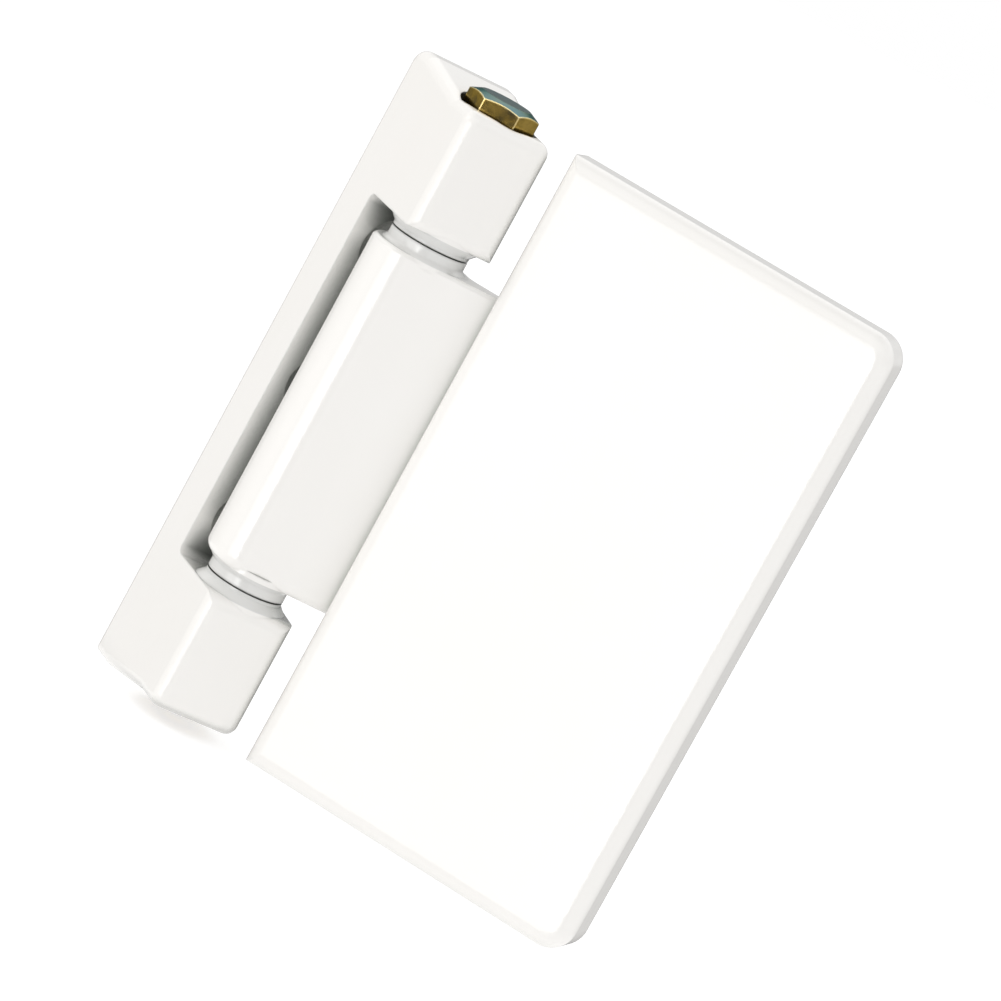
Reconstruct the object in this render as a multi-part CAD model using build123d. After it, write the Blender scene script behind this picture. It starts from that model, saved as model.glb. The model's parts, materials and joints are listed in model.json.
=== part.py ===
from build123d import *
from math import cos, sin, radians, sqrt, tan
import os

# Heavy offset folding hinge, millimetres.
# The frame leaf is a cast C-shaped bracket with a knuckle block at each end.
# The door leaf is a cast box plate with one central knuckle between those blocks.
# A hex pivot bolt runs down through all three knuckles to a lock nut.
# Origin: centre of the frame leaf's mounting face. +Y points into the frame that it
# is fixed to, +Z runs up along the pin, and the leaves stand open as photographed.

# Overall places
pin_offset = 33.0
open_angle = 40.0

# Knuckle stack, from the middle outwards
middle_knuckle_height = 86.0
knuckle_gap = 6.2
outer_knuckle_height = 31.0
boss_diameter = 20.0
door_boss_height = 3.3
boss_play = 0.4
frame_boss_root = 1.8
door_boss_root = 1.0

# Frame leaf
knuckle_width = 24.0
knuckle_reach = 12.2
draft_angle = 2.5
base_thickness = 17.5
end_rise = 3.5
end_land = 9.0
end_ramp = 24.0
side_rounding = 2.8
front_rounding = 3.2
channel_fillet = 2.0
upper_corner_rounding = 4.0

# Frame leaf fixing holes, countersunk from the channel side
frame_hole_count = 3
frame_hole_pitch = 37.5
frame_hole_diameter = 9.0
frame_hole_sink = 17.6

# Door leaf plate
plate_width = 90.5
plate_drop = 1.5
plate_thickness = 12.5
plate_front = 6.0
plate_start = 21.8
plate_edge_rounding = 4.0
plate_corner = 7.0
plate_wall = 4.5
plate_rim = 5.5
hinge_side_rim = 9.0
pocket_corner = 4.0

# Door leaf fixing bosses, tapped from the back
door_hole_spacing_x = 48.0
door_hole_end_margin = 24.1
door_hole_diameter = 6.8
door_boss_diameter = 17.0
door_boss_proud = 0.3
door_boss_shift = 2.0

# Door leaf knuckle and arm
barrel_diameter = 26.0
arm_flat_reach = 10.8
arm_flat_angle = 29.4
arm_flat_rounding = 6.0
arm_back_fillet = 4.0
arm_overlap = 2.5
knuckle_top_edge = 0.8
knuckle_bottom_edge = 3.0

# Pivot bolt, nut, washers and bushes
bolt_diameter = 10.0
hex_across_flats = 16.0
head_height = 6.4
head_proud = 4.3
crown_width = 1.6
crown_angle = 25.0
head_face_height = 0.6
head_face_step = 0.3
head_turn = -24.7
thread_length = 26.0
thread_relief = 0.15
bolt_end_chamfer = 1.5
bolt_end_inset = 0.4
nut_height = 10.0
nut_proud = 0.5
nut_ring_height = 2.8
nut_ring_wall = 1.2
nut_ring_inset = 0.3
nut_ring_clearance = 0.02
washer_diameter = 20.0
washer_thickness = 2.0
washer_hole_clearance = 0.25
recess_clearance = 0.3
frame_bore_clearance = 0.15
bush_wall = 2.0
bush_length = 20.0
bush_running_clearance = 0.05
bush_seat_clearance = 0.02
core_clearance = 1.0
thrust_washer_diameter = 18.0
thrust_washer_thickness = 0.3

# Construction: how far cutters run past a face, how far joined solids run into each other,
# and how near two places count as the same
overcut = 1.0
embed = 0.5
tolerance = 0.01

# Derived places
middle_half = middle_knuckle_height / 2
inner_face = middle_half + knuckle_gap
half_stack = inner_face + outer_knuckle_height
half_frame = half_stack + end_rise
half_plate = half_frame - plate_drop
half_front = knuckle_width / 2 - knuckle_reach * tan(radians(draft_angle))
half_back = knuckle_width / 2 + pin_offset * tan(radians(draft_angle))
frame_boss_height = knuckle_gap - boss_play - door_boss_height
boss_radius = boss_diameter / 2
bolt_radius = bolt_diameter / 2
head_corner_radius = hex_across_flats / 2 / cos(radians(30))
recess_radius = max(head_corner_radius, washer_diameter / 2) + recess_clearance
head_recess_depth = head_height + washer_thickness - head_proud
nut_recess_depth = nut_height + washer_thickness - nut_proud
head_seat = half_stack - head_recess_depth + washer_thickness
nut_seat = -half_stack + nut_recess_depth - washer_thickness
nut_end = nut_seat - nut_height
bush_radius = bolt_radius + bush_running_clearance + bush_wall
plate_back = plate_thickness - plate_front
plate_end = plate_start + plate_width
plate_middle = plate_start + plate_width / 2

pin_place = Location((0, -pin_offset, 0))
door_place = pin_place * Location((0, 0, 0), (0, 0, -open_angle))


def cylinder_between(radius, low, high):
    """Round bar about the pin axis, from height low to height high."""
    return Pos(0, 0, (low + high) / 2) * Cylinder(radius, high - low)


def ring_between(outer, inner, low, high):
    """Plain ring about the pin axis."""
    return cylinder_between(outer, low, high) - cylinder_between(inner, low, high)


def bearing_boss(face_height, boss_sign, boss_height, root):
    """Bearing boss on a knuckle end, with a sloped root."""
    foot = root + embed
    outline = Polyline(
        (0, -foot),
        (boss_radius + root, -foot),
        (boss_radius + root, 0),
        (boss_radius, root),
        (boss_radius, boss_height),
        (0, boss_height),
        close=True,
    )
    boss = revolve(Plane.XZ * make_face(outline), Axis.Z)
    if boss_sign < 0:
        boss = Rot(180, 0, 0) * boss
    return Pos(0, 0, face_height) * boss


def hex_prism(height):
    """Hexagonal bar from z = 0 up, its top corners turned off in a shallow cone."""
    flat_radius = hex_across_flats / 2
    bar = extrude(RegularPolygon(flat_radius, 6, major_radius=False), height)
    crown_radius = flat_radius - crown_width
    corner = head_corner_radius + overcut
    drop = (corner - crown_radius) * tan(radians(crown_angle))
    outline = [(0, 0), (corner, 0), (corner, height - drop), (crown_radius, height), (0, height)]
    crown = make_face(Polyline(*outline, close=True))
    return bar & revolve(Plane.XZ * crown, Axis.Z)


def side_profile(corners, roundings):
    """Side view across the pin, as (y, z) corners, with some of them rounded."""
    profile = make_face(Polyline(*corners, close=True))
    for y, z, radius in roundings:
        profile = fillet(nearest_vertices(profile, [Vector(y, z)]), radius)
    return extrude(Plane.YZ * profile, half_back + overcut, both=True)


def below(points):
    """The same (y, z) points mirrored below mid height, in reverse order."""
    return [(y, -z) for y, z in reversed(points)]


def frame_leaf():
    """C-shaped bracket: base bar and two knuckle blocks, about the pin axis."""
    front = -knuckle_reach
    back = pin_offset
    channel = back - base_thickness
    ramp_top = back - end_land
    ramp_foot = ramp_top - end_ramp
    end = [(back, half_frame), (ramp_top, half_frame), (ramp_foot, half_stack), (front, half_stack)]
    mouth = [(front, inner_face), (channel, inner_face)]
    end_roundings = [
        (back, half_frame, upper_corner_rounding),
        (front, half_stack, front_rounding),
        (front, -half_stack, front_rounding),
    ]
    mouth_roundings = [
        (front, inner_face, front_rounding),
        (front, -inner_face, front_rounding),
        (channel, inner_face, channel_fillet),
        (channel, -inner_face, channel_fillet),
    ]
    plan = make_face(
        Polyline(
            (-half_front, front),
            (half_front, front),
            (half_back, back),
            (-half_back, back),
            close=True,
        )
    )
    plan = extrude(plan, half_frame, both=True)
    body = side_profile(end + below(end), end_roundings) & plan
    walls = body.faces().filter_by(lambda f: abs(f.normal_at().X) > cos(radians(2 * draft_angle)))
    rim = [e for f in walls for e in f.edges() if e.center().Y < back - tolerance]
    body = fillet(rim, side_rounding)
    body &= side_profile(end + mouth + below(mouth) + below(end), mouth_roundings)

    for sign in (1, -1):
        boss = bearing_boss(sign * inner_face, -sign, frame_boss_height, frame_boss_root)
        body += boss & plan
    bore = bolt_radius + frame_bore_clearance
    body -= cylinder_between(bore, -half_stack - overcut, half_stack + overcut)
    head_recess_floor = half_stack - head_recess_depth
    nut_recess_floor = -half_stack + nut_recess_depth
    body -= cylinder_between(recess_radius, head_recess_floor, half_frame + overcut)
    body -= cylinder_between(recess_radius, -half_frame - overcut, nut_recess_floor)

    sink_depth = (frame_hole_sink - frame_hole_diameter) / 2
    first = -(frame_hole_count - 1) / 2 * frame_hole_pitch
    for k in range(frame_hole_count):
        hole = Cylinder(frame_hole_diameter / 2, 2 * (base_thickness + overcut))
        hole += Pos(0, 0, -sink_depth / 2) * Cone(
            frame_hole_diameter / 2, frame_hole_sink / 2, sink_depth
        )
        body -= Pos(0, channel, first + k * frame_hole_pitch) * Rot(90, 0, 0) * hole
    return pin_place * body


def nearest_vertices(shape, wanted):
    """The vertices of shape that stand where the wanted ones stood."""
    found = []
    for target in wanted:
        found += [v for v in shape.vertices() if (Vector(v) - Vector(target)).length < tolerance]
    return found


def door_plate():
    """Box plate of the door leaf, closed pose, about the pin axis, hollow at the back."""
    outline = Pos(plate_middle, 0) * Rectangle(plate_width, 2 * half_plate)
    outer_corners = [v for v in outline.vertices() if v.X > plate_middle]
    outline = fillet(outer_corners, plate_corner)
    plate = Pos(0, plate_back, 0) * extrude(Plane.XZ * outline, plate_thickness)
    front_edges = plate.faces().sort_by(Axis.Y)[0].edges()
    plate = fillet(front_edges, plate_edge_rounding)

    pocket_depth = plate_thickness - plate_wall
    pocket_start = plate_start + hinge_side_rim
    pocket_width = plate_end - plate_rim - pocket_start
    pocket_height = 2 * (half_plate - plate_rim)
    pocket_middle = pocket_start + pocket_width / 2
    pocket = Pos(pocket_middle, 0) * RectangleRounded(pocket_width, pocket_height, pocket_corner)
    mouth = Pos(0, plate_back + overcut, 0)
    plate -= mouth * extrude(Plane.XZ * pocket, pocket_depth + overcut)

    boss_top = Pos(0, plate_back + door_boss_proud, 0)
    boss_length = pocket_depth + door_boss_proud
    boss_middle = pocket_middle + door_boss_shift
    columns = [boss_middle + side * door_hole_spacing_x / 2 for side in (-1, 1)]
    rows = [side * (half_plate - door_hole_end_margin) for side in (-1, 1)]
    for x in columns:
        for z in rows:
            boss = Pos(x, z) * Circle(door_boss_diameter / 2)
            hole = Pos(x, z) * Circle(door_hole_diameter / 2)
            plate += boss_top * extrude(Plane.XZ * boss, boss_length + embed)
            plate -= mouth * extrude(Plane.XZ * hole, pocket_depth + overcut)
    return plate


def door_knuckle():
    """Central knuckle and arm of the door leaf, closed pose, about the pin axis."""
    barrel_radius = barrel_diameter / 2
    angle = radians(arm_flat_angle)
    normal = Vector(sin(angle), -cos(angle))
    along = Vector(cos(angle), sin(angle))
    half_chord = sqrt(barrel_radius ** 2 - arm_flat_reach ** 2)
    foot = normal * arm_flat_reach
    crown = foot - along * half_chord
    arm_end = plate_start + arm_overlap
    arm_front = foot + along * ((plate_start - foot.X) / along.X)
    arm = make_face(
        Polyline(
            (crown.X, crown.Y),
            (arm_front.X, arm_front.Y),
            (arm_end, arm_front.Y),
            (arm_end, plate_back),
            (0, plate_back),
            close=True,
        )
    )
    beyond = Rot(0, 0, arm_flat_angle) * Pos(0, -arm_flat_reach - barrel_radius)
    section = Circle(barrel_radius) - beyond * Rectangle(4 * barrel_radius, 2 * barrel_radius)
    section += arm
    back_join = (sqrt(barrel_radius ** 2 - plate_back ** 2), plate_back)
    for point, radius in (((crown.X, crown.Y), arm_flat_rounding), (back_join, arm_back_fillet)):
        corner = nearest_vertices(section, [Vector(*point)])
        section = fillet(corner, radius)
    knuckle = Pos(0, 0, -middle_half) * extrude(section, middle_knuckle_height)
    widest = (plate_back - arm_front.Y) / 2 - embed / 2
    for level, round_edge, size in (
        (middle_half, chamfer, knuckle_top_edge),
        (-middle_half, fillet, knuckle_bottom_edge),
    ):
        rim = [e for e in knuckle.edges() if abs(e.center().Z - level) < tolerance]
        rim = [e for e in rim if e.center().X < arm_end - tolerance]
        knuckle = round_edge(rim, min(size, widest))
    for sign in (1, -1):
        knuckle += bearing_boss(sign * middle_half, sign, door_boss_height, door_boss_root)
    return knuckle


def door_leaf():
    """Door leaf casting: plate, arm and knuckle in one, bored for the bushes."""
    leaf = door_plate() + door_knuckle()
    reach = middle_half + door_boss_height + overcut
    leaf -= cylinder_between(bolt_radius + core_clearance, -reach, reach)
    seat = bush_radius + bush_seat_clearance
    seat_floor = middle_half + door_boss_height - bush_length
    leaf -= cylinder_between(seat, seat_floor, reach)
    leaf -= cylinder_between(seat, -reach, -seat_floor)
    return door_place * leaf


def pivot_bolt():
    """Hex head bolt: plain shank, reduced threaded end."""
    head_base = head_seat + head_face_height
    head = Pos(0, 0, head_base) * hex_prism(head_height - head_face_height)
    head += cylinder_between(hex_across_flats / 2 - head_face_step, head_seat, head_base)
    tip = nut_end + bolt_end_inset
    thread_top = tip + thread_length
    thread_radius = bolt_radius - thread_relief
    shank = cylinder_between(bolt_radius, thread_top, head_seat)
    thread = cylinder_between(thread_radius, tip, thread_top)
    thread = chamfer(thread.edges().sort_by(Axis.Z)[0], bolt_end_chamfer)
    return pin_place * Rot(0, 0, head_turn) * (head + shank + thread)


def lock_nut():
    """Hex nut with a pocket at its outer end for the locking ring."""
    nut = Pos(0, 0, nut_seat) * Rot(180, 0, 0) * hex_prism(nut_height)
    nut -= cylinder_between(bolt_radius, nut_end - overcut, nut_seat + overcut)
    nut -= cylinder_between(bolt_radius + nut_ring_wall, nut_end - overcut, nut_end + nut_ring_height)
    return pin_place * Rot(0, 0, head_turn) * nut


def lock_nut_ring():
    """Plastic ring that grips the bolt thread inside the nut."""
    outer = bolt_radius + nut_ring_wall - nut_ring_clearance
    inner = bolt_radius - thread_relief + nut_ring_clearance
    low = nut_end + nut_ring_inset
    return pin_place * ring_between(outer, inner, low, nut_end + nut_ring_height)


def washer(low):
    """Small series flat washer."""
    inner = bolt_radius + washer_hole_clearance
    ring = ring_between(washer_diameter / 2, inner, low, low + washer_thickness)
    return pin_place * ring


def bush(sign):
    """Plain bearing bush pressed into one end of the door knuckle."""
    end = middle_half + door_boss_height
    inner = bolt_radius + bush_running_clearance
    low, high = sorted((sign * end, sign * (end - bush_length)))
    return door_place * ring_between(bush_radius, inner, low, high)


def thrust_washer(sign):
    """Thin bearing washer between a frame boss and a door boss."""
    frame_end = inner_face - frame_boss_height
    inner = bolt_radius + washer_hole_clearance
    outer = thrust_washer_diameter / 2
    low, high = sorted((sign * frame_end, sign * (frame_end - thrust_washer_thickness)))
    return pin_place * ring_between(outer, inner, low, high)


nodes = {
    "frame_leaf": frame_leaf(),
    "door_leaf": door_leaf(),
    "pivot_bolt": pivot_bolt(),
    "head_washer": washer(head_seat - washer_thickness),
    "nut_washer": washer(nut_seat),
    "lock_nut": lock_nut(),
    "lock_nut_ring": lock_nut_ring(),
    "upper_bush": bush(1),
    "lower_bush": bush(-1),
    "upper_thrust_washer": thrust_washer(1),
    "lower_thrust_washer": thrust_washer(-1),
}

os.makedirs("parts", exist_ok=True)
for name, solid in nodes.items():
    export_step(solid, f"parts/{name}.step")
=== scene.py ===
import json
from math import cos, pi, radians, sin

import bpy
from mathutils import Matrix, Vector


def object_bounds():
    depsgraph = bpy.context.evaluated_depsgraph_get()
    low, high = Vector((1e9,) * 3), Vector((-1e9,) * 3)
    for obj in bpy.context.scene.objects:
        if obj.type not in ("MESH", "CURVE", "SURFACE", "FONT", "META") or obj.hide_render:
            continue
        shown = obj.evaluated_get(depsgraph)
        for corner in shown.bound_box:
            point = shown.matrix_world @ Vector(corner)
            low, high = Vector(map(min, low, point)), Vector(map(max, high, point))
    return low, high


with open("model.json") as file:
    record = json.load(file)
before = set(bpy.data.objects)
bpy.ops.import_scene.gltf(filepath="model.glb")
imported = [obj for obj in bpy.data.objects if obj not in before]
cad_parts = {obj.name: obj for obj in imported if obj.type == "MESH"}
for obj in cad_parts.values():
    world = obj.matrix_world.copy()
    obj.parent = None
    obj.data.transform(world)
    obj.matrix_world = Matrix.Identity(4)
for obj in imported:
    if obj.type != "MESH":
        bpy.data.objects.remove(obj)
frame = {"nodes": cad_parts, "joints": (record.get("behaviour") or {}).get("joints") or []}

cad_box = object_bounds()

# The photograph's view about the pin axis at mid height: lengths in metres, the sensor in millimetres
IMAGE_WIDTH = 1001
FOCAL_PIXELS = 5682.4
SENSOR = 36.0
ELEVATION = radians(9.46)
TURN = radians(24.7)
ROLL = radians(28.79)
DISTANCE = 1.3434
AXIS_RIGHT = -0.04369
AXIS_UP = -0.00058

# The white tent: its plain light, and its brightness in gloss by azimuth in degrees, 0 towards the camera
AMBIENT = 0.885
SOFT_BOX = 3.2
BRIGHT_EDGE = 6.5
TENT_BANDS = [
    (-180, 0.15),
    (-135, 0.15),
    (-126, 0.32),
    (-112, 0.32),
    (-85, 1.0),
    (-58, 1.0),
    (-53, SOFT_BOX),
    (-27, SOFT_BOX),
    (-24, BRIGHT_EDGE),
    (-14, BRIGHT_EDGE),
    (-11, 1.0),
    (-9, 0.12),
    (11, 0.12),
    (14, 1.0),
    (85, 1.0),
    (112, 0.32),
    (126, 0.32),
    (135, 0.15),
    (180, 0.15),
]

# The brightness overhead, and how far the bands hold, by a ray's rise
# from -1 straight down to 1 straight up
TENT_OVERHEAD = [
    (0.40, 1.0),
    (0.55, 1.7),
    (0.90, 1.7),
    (0.97, 1.0),
]
TENT_RISE = [
    (-0.36, 0.0),
    (-0.31, 1.0),
    (-0.02, 1.0),
    (0.05, 0.5),
    (0.22, 0.5),
    (0.30, 0.0),
]

# The key lamp, placed and aimed right, away and up from the pin axis in the photograph's view
KEY_PLACE = (-0.95, -0.25, 0.45)
KEY_TARGET = (0.03, 0, 0)
KEY_SIZE = (0.5, 0.5)
KEY_POWER = 1.65
LAMP_COLOUR = (1.0, 0.96, 0.90)

# The floor: half its side, its grey, and a light of its own that keeps it pale around the shadow
FLOOR_HALF = 3.0
FLOOR_GREY = (0.45, 0.45, 0.45, 1.0)
FLOOR_GLOW = 0.68

# The paint's drift between two tones, and the radius that softens its edges in the shading
PAINT_TONES = [
    (0.3, (0.902, 0.886, 0.858)),
    (0.7, (0.917, 0.903, 0.880)),
]
PAINT_EDGE = 0.0009

# Painted shade: how much crevices darken the paint's colour, by how open the surface is from 0 to 1 within a
# reach
FRAME_SHADE_REACH = 0.010
FRAME_PAINTED_SHADE = [
    (0.22, (0.06, 0.065, 0.06)),
    (0.45, (0.27, 0.285, 0.275)),
    (0.65, (0.88, 0.89, 0.885)),
    (0.80, (1.0, 1.0, 1.0)),
]
DOOR_SHADE_REACH = 0.006
DOOR_PAINTED_SHADE = [
    (0.12, (0.48, 0.50, 0.48)),
    (0.40, (0.76, 0.78, 0.77)),
    (0.62, (1.0, 1.0, 1.0)),
]

# Paint close to the floor gets no painted shade: the heights between which the painted shade comes in
SHADE_NONE = -0.083
SHADE_FULL = -0.074

# The gap beside each end of the middle knuckle, where the bosses around the pin get a painted shade
GAP_HEIGHT = 0.0462
GAP_HALF = 0.0033
BOSS_SHADE_RADIUS = 0.0118
BOSS_SHADE_END = 0.0124
BOSS_SHADE_TINT = (0.81, 0.822, 0.828, 1.0)

# The zinc seen face on and on a top at a slant, the painted highlight along its edges, and the radius that
# softens its edges
ZINC_FACE_ON = [
    (0.30, (0.20, 0.17, 0.10)),
    (0.45, (0.62, 0.42, 0.10)),
    (0.60, (0.80, 0.55, 0.14)),
    (0.75, (0.36, 0.20, 0.06)),
]
ZINC_SLANTED = [
    (0.3, (0.13, 0.20, 0.21)),
    (0.7, (0.19, 0.21, 0.16)),
]
ZINC_EDGE_HIGHLIGHT = (1.0, 0.86, 0.50, 1.0)
ZINC_TINT = (0.25, 0.33, 0.34, 1.0)
ZINC_EDGE = 0.0006

PIN = Vector(frame["joints"][0]["pos_m"])
FLOOR_Z = cad_box[0].z


def from_view(point):
    """A point given right, away and up from the pin axis in the photograph's view, in the shared frame."""
    return PIN + Matrix.Rotation(-TURN, 3, "Z") @ Vector(point)


def view_direction(direction):
    """A direction given right, away and up in the photograph's view, in the shared frame."""
    return Matrix.Rotation(-TURN, 3, "Z") @ Vector(direction)


def make_camera():
    right = view_direction((1, 0, 0))
    up = view_direction((0, sin(ELEVATION), cos(ELEVATION)))
    forward = view_direction((0, cos(ELEVATION), -sin(ELEVATION)))
    place = PIN - right * AXIS_RIGHT - up * AXIS_UP - forward * DISTANCE
    rolled_right = right * cos(ROLL) + up * sin(ROLL)
    rolled_up = up * cos(ROLL) - right * sin(ROLL)
    turn = Matrix((rolled_right, rolled_up, -forward)).transposed()
    data = bpy.data.cameras.new("camera")
    data.sensor_width = SENSOR
    data.lens = SENSOR * FOCAL_PIXELS / IMAGE_WIDTH
    data.clip_start = 0.05
    data.clip_end = 20.0
    camera = bpy.data.objects.new("camera", data)
    camera.matrix_world = Matrix.Translation(place) @ turn.to_4x4()
    bpy.context.scene.collection.objects.link(camera)
    bpy.context.scene.camera = camera


class Nodes:
    """A material's node tree, with short calls to add and join nodes."""

    def __init__(self, name):
        self.material = bpy.data.materials.new(name)
        self.material.use_nodes = True
        self.tree = self.material.node_tree
        self.shader = self.tree.nodes["Principled BSDF"]

    def add(self, kind, **values):
        """A new node, each value set on the input of that name, or else on the setting."""
        node = self.tree.nodes.new(kind)
        for key, value in values.items():
            if key in node.inputs:
                node.inputs[key].default_value = value
            else:
                setattr(node, key, value)
        return node

    def join(self, a, a_socket, b, b_socket):
        self.tree.links.new(a.outputs[a_socket], b.inputs[b_socket])

    def noise(self, scale, detail=2.0, roughness=0.5, seed=0.0):
        place = self.add("ShaderNodeTexCoord")
        shift = self.add("ShaderNodeMapping")
        shift.inputs["Location"].default_value = (seed, seed, seed)
        noise = self.add("ShaderNodeTexNoise", Scale=scale, Detail=detail, Roughness=roughness)
        self.join(place, "Object", shift, "Vector")
        self.join(shift, "Vector", noise, "Vector")
        return noise

    def ramp(self, source, socket, stops):
        """A colour ramp over a source, each stop with its place and colour."""
        ramp = self.add("ShaderNodeValToRGB")
        line = ramp.color_ramp
        while len(line.elements) < len(stops):
            line.elements.new(0.5)
        for element, (at, colour) in zip(line.elements, stops):
            element.position = at
            element.color = (*colour, 1.0)
        self.join(source, socket, ramp, "Fac")
        return ramp

    def span(self, source, socket, low, high, from_low=0.0, from_high=1.0):
        """A source's range carried over to another range and held at its ends."""
        span = self.add("ShaderNodeMapRange")
        span.inputs["From Min"].default_value = from_low
        span.inputs["From Max"].default_value = from_high
        span.inputs["To Min"].default_value = low
        span.inputs["To Max"].default_value = high
        self.join(source, socket, span, "Value")
        return span

    def bump(self, height, socket, strength, distance, edge_radius=0.0003):
        """Fine relief over edges that are softened in the shading by a small radius."""
        edge = self.add("ShaderNodeBevel", Radius=edge_radius, samples=4)
        bump = self.add("ShaderNodeBump", Strength=strength, Distance=distance)
        self.join(edge, "Normal", bump, "Normal")
        self.join(height, socket, bump, "Height")
        self.join(bump, "Normal", self.shader, "Normal")


def gloss_paint(name, shade_reach, shade_stops):
    """Warm white stoved paint: orange peel, a faint drift of colour, painted shade in crevices and on the
    bosses by the pin.
    """
    m = Nodes(name)
    drift = m.noise(scale=18.0, detail=3.0)
    unshaded = m.ramp(drift, "Fac", PAINT_TONES)
    # Painted shade: occlusion within a reach darkens the paint's colour in crevices and between parts
    crevice = m.add("ShaderNodeAmbientOcclusion", Distance=shade_reach, samples=12)
    painted_shade = m.ramp(crevice, "AO", shade_stops)
    place = m.add("ShaderNodeTexCoord")
    height = m.add("ShaderNodeSeparateXYZ")
    m.join(place, "Object", height, "Vector")
    # The painted shade fades out towards the floor
    off_floor = m.span(height, "Z", 0.0, 1.0, from_low=SHADE_NONE, from_high=SHADE_FULL)
    colour = m.add("ShaderNodeMix", data_type="RGBA", blend_type="MULTIPLY")
    m.join(off_floor, "Result", colour, "Factor")
    m.join(unshaded, "Color", colour, "A")
    m.join(painted_shade, "Color", colour, "B")
    # Painted shade: a darker tint on the bosses around the pin, in the gaps beside the middle knuckle
    flattened = m.add("ShaderNodeMapping")
    flattened.inputs["Scale"].default_value = (1.0, 1.0, 0.0)
    m.join(place, "Object", flattened, "Vector")
    from_pin = m.add("ShaderNodeVectorMath", operation="DISTANCE")
    from_pin.inputs[1].default_value = (PIN.x, PIN.y, 0.0)
    m.join(flattened, "Vector", from_pin, 0)
    near_pin = m.span(from_pin, "Value", 1.0, 0.0, from_low=BOSS_SHADE_RADIUS, from_high=BOSS_SHADE_END)
    off_middle = m.add("ShaderNodeMath", operation="ABSOLUTE")
    m.join(height, "Z", off_middle, 0)
    in_gap = m.add("ShaderNodeMath", operation="COMPARE")
    in_gap.inputs[1].default_value = GAP_HEIGHT
    in_gap.inputs[2].default_value = GAP_HALF
    m.join(off_middle, "Value", in_gap, 0)
    tint_factor = m.add("ShaderNodeMath", operation="MULTIPLY")
    m.join(near_pin, "Result", tint_factor, 0)
    m.join(in_gap, "Value", tint_factor, 1)
    boss_shaded = m.add("ShaderNodeMix", data_type="RGBA", blend_type="MULTIPLY")
    boss_shaded.inputs["B"].default_value = BOSS_SHADE_TINT
    m.join(tint_factor, "Value", boss_shaded, "Factor")
    m.join(colour, "Result", boss_shaded, "A")
    m.join(boss_shaded, "Result", m.shader, "Base Color")
    gloss = m.noise(scale=60.0, detail=2.0, seed=3.0)
    rough = m.span(gloss, "Fac", 0.09, 0.14)
    m.join(rough, "Result", m.shader, "Roughness")
    peel = m.noise(scale=420.0, detail=1.0, seed=7.0)
    m.bump(peel, "Fac", strength=0.04, distance=0.0004, edge_radius=PAINT_EDGE)
    m.shader.inputs["IOR"].default_value = 1.5
    return m.material


def yellow_zinc():
    """Zinc plate with a yellow chromate: dark gold and brown, teal on a top seen at a slant, painted
    highlights along the edges.
    """
    m = Nodes("yellow_zinc")
    tint_factor = m.noise(scale=130.0, detail=3.0, roughness=0.55)
    face_on = m.ramp(tint_factor, "Fac", ZINC_FACE_ON)
    slanted = m.ramp(tint_factor, "Fac", ZINC_SLANTED)
    slant = m.add("ShaderNodeLayerWeight", Blend=0.5)
    at_a_slant = m.span(slant, "Facing", 0.0, 1.0, from_low=0.25, from_high=0.40)
    place = m.add("ShaderNodeTexCoord")
    facing = m.add("ShaderNodeSeparateXYZ")
    m.join(place, "Normal", facing, "Vector")
    on_top = m.span(facing, "Z", 0.0, 1.0, from_low=0.55, from_high=0.85)
    share = m.add("ShaderNodeMath", operation="MULTIPLY")
    m.join(at_a_slant, "Result", share, 0)
    m.join(on_top, "Result", share, 1)
    colour = m.add("ShaderNodeMix", data_type="RGBA")
    m.join(share, "Value", colour, "Factor")
    m.join(face_on, "Color", colour, "A")
    m.join(slanted, "Color", colour, "B")
    # Painted highlight: a bright colour along the edges, where the softened normal turns away from the flat
    # one
    rounded = m.add("ShaderNodeBevel", Radius=ZINC_EDGE, samples=6)
    flat = m.add("ShaderNodeNewGeometry")
    turned = m.add("ShaderNodeVectorMath", operation="DOT_PRODUCT")
    m.join(rounded, "Normal", turned, 0)
    m.join(flat, "Normal", turned, 1)
    edge_highlight = m.span(turned, "Value", 1.0, 0.0, from_low=0.88, from_high=0.992)
    highlighted = m.add("ShaderNodeMix", data_type="RGBA")
    highlighted.inputs["B"].default_value = ZINC_EDGE_HIGHLIGHT
    m.join(edge_highlight, "Result", highlighted, "Factor")
    m.join(colour, "Result", highlighted, "A")
    m.join(highlighted, "Result", m.shader, "Base Color")
    m.shader.inputs["Metallic"].default_value = 1.0
    m.shader.inputs["Specular Tint"].default_value = ZINC_TINT
    grain = m.noise(scale=900.0, detail=2.0, seed=5.0)
    rough = m.span(grain, "Fac", 0.12, 0.22)
    m.join(rough, "Result", m.shader, "Roughness")
    m.bump(grain, "Fac", strength=0.10, distance=0.0001, edge_radius=ZINC_EDGE)
    return m.material


def plain_finish(name, colour, dark, roughness, metallic=0.0):
    """A plain moulded or turned surface with a slight mottle."""
    m = Nodes(name)
    mottle = m.noise(scale=250.0, detail=2.0)
    shade = m.ramp(mottle, "Fac", [(0.3, dark), (0.7, colour)])
    m.join(shade, "Color", m.shader, "Base Color")
    rough = m.span(mottle, "Fac", roughness - 0.05, roughness + 0.05)
    m.join(rough, "Result", m.shader, "Roughness")
    m.shader.inputs["Metallic"].default_value = metallic
    m.bump(mottle, "Fac", strength=0.1, distance=0.0001)
    return m.material


def dress(names, material):
    for name in names:
        mesh = frame["nodes"][name].data
        mesh.materials.clear()
        mesh.materials.append(material)


def seen_directly(nodes, links):
    """A value that is 1 for rays from the camera and through glass."""
    path = nodes.new("ShaderNodeLightPath")
    either = nodes.new("ShaderNodeMath")
    either.operation = "MAXIMUM"
    links.new(path.outputs["Is Camera Ray"], either.inputs[0])
    links.new(path.outputs["Is Transmission Ray"], either.inputs[1])
    return either


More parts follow.
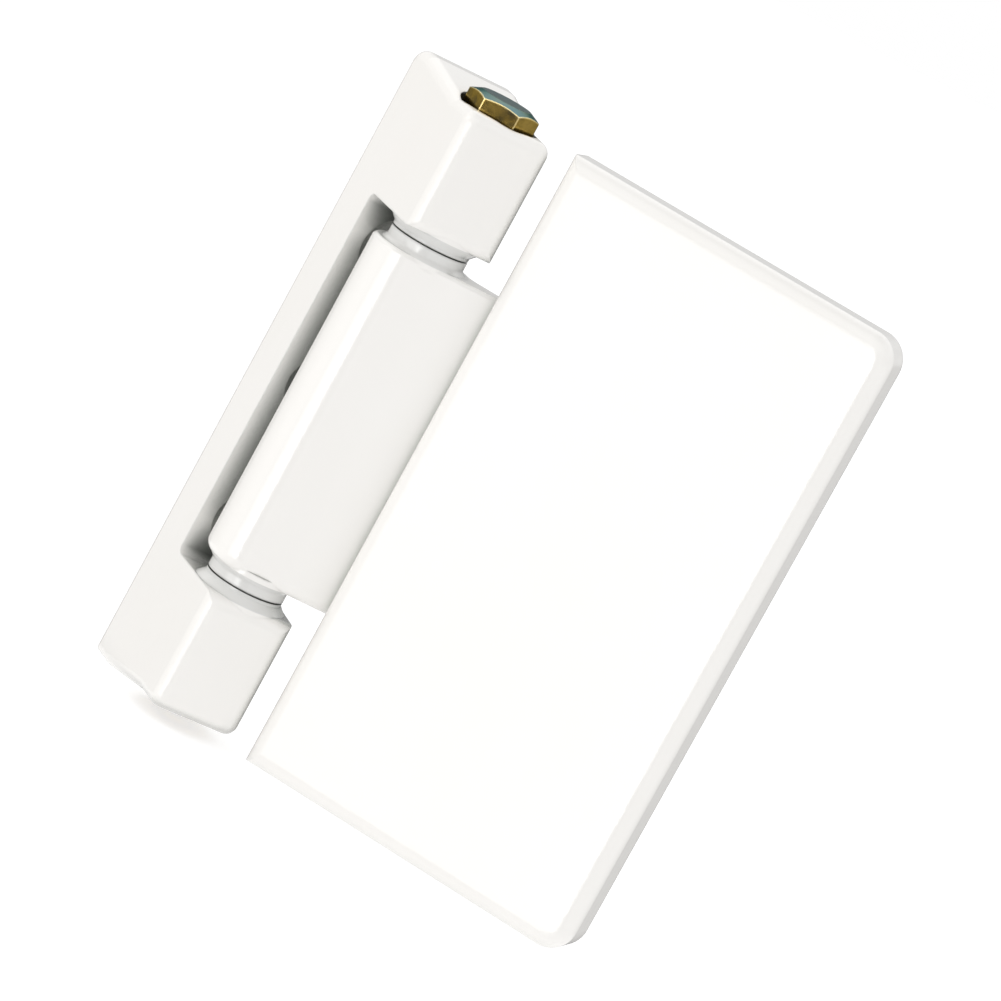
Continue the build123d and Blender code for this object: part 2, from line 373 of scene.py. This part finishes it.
def part_along(nodes, links, direction, way):
    """How far a ray's direction runs along a given way."""
    product = nodes.new("ShaderNodeVectorMath")
    product.operation = "DOT_PRODUCT"
    product.inputs[1].default_value = way
    links.new(direction.outputs["Generated"], product.inputs[0])
    return product


def set_stops(line, stops):
    """Grey stops on a new colour ramp, each with its place and level."""
    while len(line.elements) < len(stops):
        line.elements.new(0.5)
    for element, (at, level) in zip(line.elements, stops):
        element.position = at
        element.color = (level, level, level, 1.0)


def tent_in_gloss(nodes, links):
    """What gloss sees of the tent, by azimuth: white, with a soft box front left and less light behind."""
    direction = nodes.new("ShaderNodeTexCoord")
    rightward = part_along(nodes, links, direction, view_direction((1, 0, 0)))
    towards = part_along(nodes, links, direction, view_direction((0, -1, 0)))
    azimuth = nodes.new("ShaderNodeMath")
    azimuth.operation = "ARCTAN2"
    links.new(rightward.outputs["Value"], azimuth.inputs[0])
    links.new(towards.outputs["Value"], azimuth.inputs[1])
    around = nodes.new("ShaderNodeMapRange")
    around.inputs["From Min"].default_value = -pi
    around.inputs["From Max"].default_value = pi
    links.new(azimuth.outputs[0], around.inputs["Value"])
    ramp = nodes.new("ShaderNodeValToRGB")
    set_stops(ramp.color_ramp, [(at / 360 + 0.5, level / BRIGHT_EDGE) for at, level in TENT_BANDS])
    links.new(around.outputs["Result"], ramp.inputs["Fac"])
    upward = part_along(nodes, links, direction, Vector((0, 0, 1)))
    rise = nodes.new("ShaderNodeMapRange")
    rise.inputs["From Min"].default_value = -1.0
    links.new(upward.outputs["Value"], rise.inputs["Value"])
    low = nodes.new("ShaderNodeValToRGB")
    set_stops(low.color_ramp, [((at + 1) / 2, share) for at, share in TENT_RISE])
    links.new(rise.outputs["Result"], low.inputs["Fac"])
    overhead = nodes.new("ShaderNodeValToRGB")
    set_stops(overhead.color_ramp, [((at + 1) / 2, level / BRIGHT_EDGE) for at, level in TENT_OVERHEAD])
    links.new(rise.outputs["Result"], overhead.inputs["Fac"])
    level = nodes.new("ShaderNodeMix")
    level.data_type = "RGBA"
    links.new(overhead.outputs["Color"], level.inputs["A"])
    links.new(low.outputs["Color"], level.inputs["Factor"])
    links.new(ramp.outputs["Color"], level.inputs["B"])
    tent = nodes.new("ShaderNodeBackground")
    tent.inputs["Strength"].default_value = BRIGHT_EDGE
    links.new(level.outputs["Result"], tent.inputs["Color"])
    return tent


def make_world():
    """Plain light for matt surfaces, the tent for gloss, and plain white where it is seen directly."""
    world = bpy.data.worlds.new("studio")
    bpy.context.scene.world = world
    world.use_nodes = True
    nodes = world.node_tree.nodes
    links = world.node_tree.links
    ambient = nodes["Background"]
    ambient.inputs["Color"].default_value = (1.0, 1.0, 1.0, 1.0)
    ambient.inputs["Strength"].default_value = AMBIENT
    white = nodes.new("ShaderNodeBackground")
    white.inputs["Color"].default_value = (1.0, 1.0, 1.0, 1.0)
    white.inputs["Strength"].default_value = 1.0
    path = nodes.new("ShaderNodeLightPath")
    gloss = nodes.new("ShaderNodeMixShader")
    links.new(path.outputs["Is Glossy Ray"], gloss.inputs["Fac"])
    links.new(ambient.outputs[0], gloss.inputs[1])
    links.new(tent_in_gloss(nodes, links).outputs[0], gloss.inputs[2])
    mix = nodes.new("ShaderNodeMixShader")
    links.new(seen_directly(nodes, links).outputs[0], mix.inputs["Fac"])
    links.new(gloss.outputs[0], mix.inputs[1])
    links.new(white.outputs[0], mix.inputs[2])
    links.new(mix.outputs[0], nodes["World Output"].inputs["Surface"])


def make_floor():
    """A pale floor with a light of its own, which gloss doesn't see."""
    mesh = bpy.data.meshes.new("floor")
    half = FLOOR_HALF
    corners = [(-half, -half, 0), (half, -half, 0), (half, half, 0), (-half, half, 0)]
    mesh.from_pydata(corners, [], [(0, 1, 2, 3)])
    floor = bpy.data.objects.new("floor", mesh)
    floor.location = (0, 0, FLOOR_Z)
    bpy.context.scene.collection.objects.link(floor)
    material = bpy.data.materials.new("floor")
    material.use_nodes = True
    nodes = material.node_tree.nodes
    links = material.node_tree.links
    shader = nodes["Principled BSDF"]
    shader.inputs["Base Color"].default_value = FLOOR_GREY
    shader.inputs["Roughness"].default_value = 0.9
    shader.inputs["Specular IOR Level"].default_value = 0.0
    glow = nodes.new("ShaderNodeEmission")
    glow.inputs["Strength"].default_value = FLOOR_GLOW
    both = nodes.new("ShaderNodeAddShader")
    links.new(shader.outputs[0], both.inputs[0])
    links.new(glow.outputs[0], both.inputs[1])
    links.new(both.outputs[0], nodes["Material Output"].inputs["Surface"])
    mesh.materials.append(material)
    floor.visible_glossy = False


def soft_lamp(name, place, target, size, power):
    """A rectangular soft box, slightly warm, placed and aimed in the photograph's view."""
    data = bpy.data.lights.new(name, "AREA")
    data.shape = "RECTANGLE"
    data.size, data.size_y = size
    data.energy = power
    data.color = LAMP_COLOUR
    lamp = bpy.data.objects.new(name, data)
    at = from_view(place)
    aim = from_view(target) - at
    lamp.location = at
    lamp.rotation_mode = "QUATERNION"
    lamp.rotation_quaternion = aim.to_track_quat("-Z", "Y")
    bpy.context.scene.collection.objects.link(lamp)


make_camera()
make_world()
make_floor()
soft_lamp("key", KEY_PLACE, KEY_TARGET, KEY_SIZE, KEY_POWER)

frame_paint = gloss_paint("frame_paint", FRAME_SHADE_REACH, FRAME_PAINTED_SHADE)
door_paint = gloss_paint("door_paint", DOOR_SHADE_REACH, DOOR_PAINTED_SHADE)
zinc = yellow_zinc()
bronze = plain_finish("bronze", (0.50, 0.33, 0.15), (0.40, 0.25, 0.11), 0.35, metallic=1.0)
bearing = plain_finish("bearing_plastic", (0.42, 0.42, 0.41), (0.34, 0.34, 0.33), 0.45)
nylon = plain_finish("nylon", (0.10, 0.18, 0.42), (0.08, 0.15, 0.36), 0.5)
dress(["frame_leaf"], frame_paint)
dress(["door_leaf"], door_paint)
dress(["pivot_bolt", "head_washer", "nut_washer", "lock_nut"], zinc)
dress(["upper_bush", "lower_bush"], bronze)
dress(["upper_thrust_washer", "lower_thrust_washer"], bearing)
dress(["lock_nut_ring"], nylon)

bpy.context.scene.view_settings.view_transform = "Standard"
